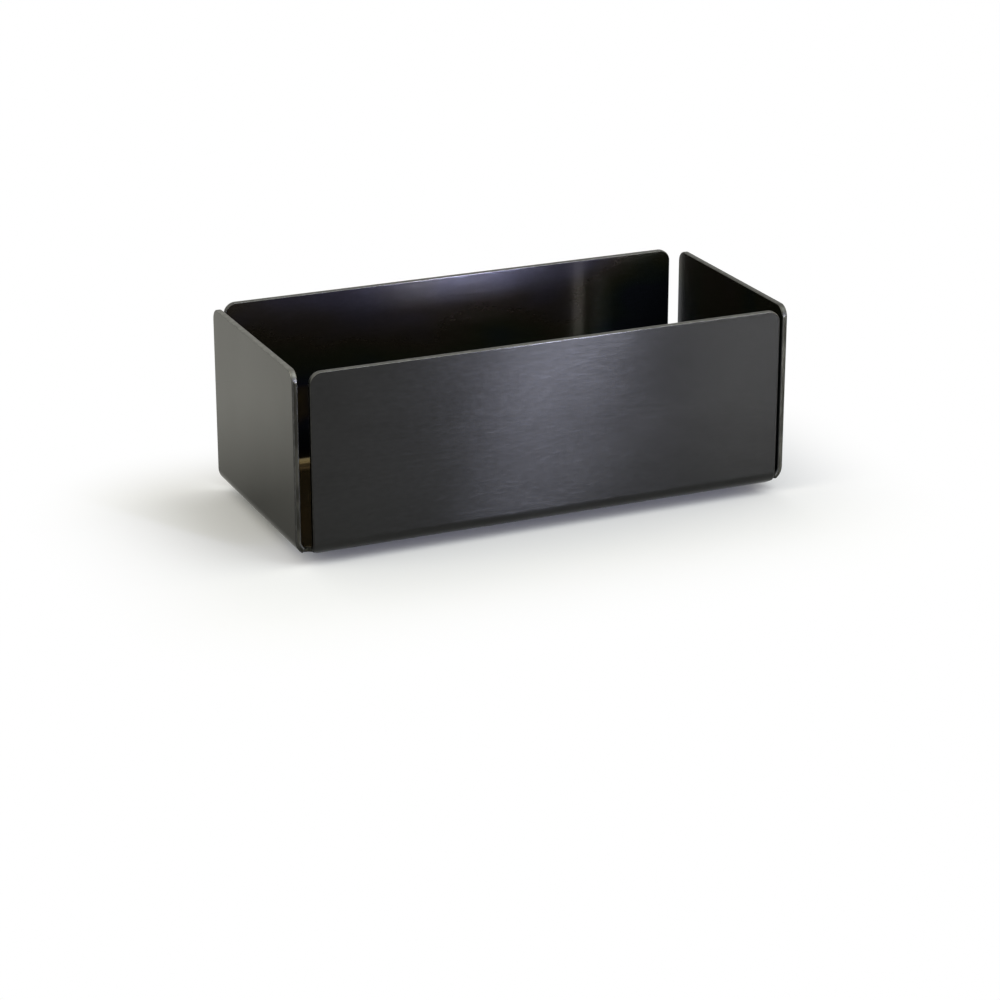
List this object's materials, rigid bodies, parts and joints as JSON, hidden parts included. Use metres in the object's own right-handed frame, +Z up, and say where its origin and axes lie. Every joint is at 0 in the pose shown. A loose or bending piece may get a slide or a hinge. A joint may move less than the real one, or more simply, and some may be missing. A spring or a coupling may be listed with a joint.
{
  "type": "sugar packet holder",
  "caption": "Open rectangular tray folded from one black brushed steel sheet, with slit corners and small rubber feet, for sugar packets.",
  "frame": {"origin": "middle of the footprint, on the surface that the feet stand on", "axes": "+X along the tray's length, +Y from the front wall to the back wall, +Z up"},
  "size_m": [0.108, 0.051, 0.04],
  "materials": {
    "black_steel": "black-coloured stainless steel, brushed along the length of the blank, satin",
    "foot_rubber": "matt black",
    "adhesive": "translucent grey adhesive film"
  },
  "bodies": {
    "root": {"folded_tray": "black_steel", "front_left_foot": "foot_rubber", "front_right_foot": "foot_rubber", "rear_left_foot": "foot_rubber", "rear_right_foot": "foot_rubber", "front_left_adhesive": "adhesive", "front_right_adhesive": "adhesive", "rear_left_adhesive": "adhesive", "rear_right_adhesive": "adhesive"}
  },
  "joints": []
}
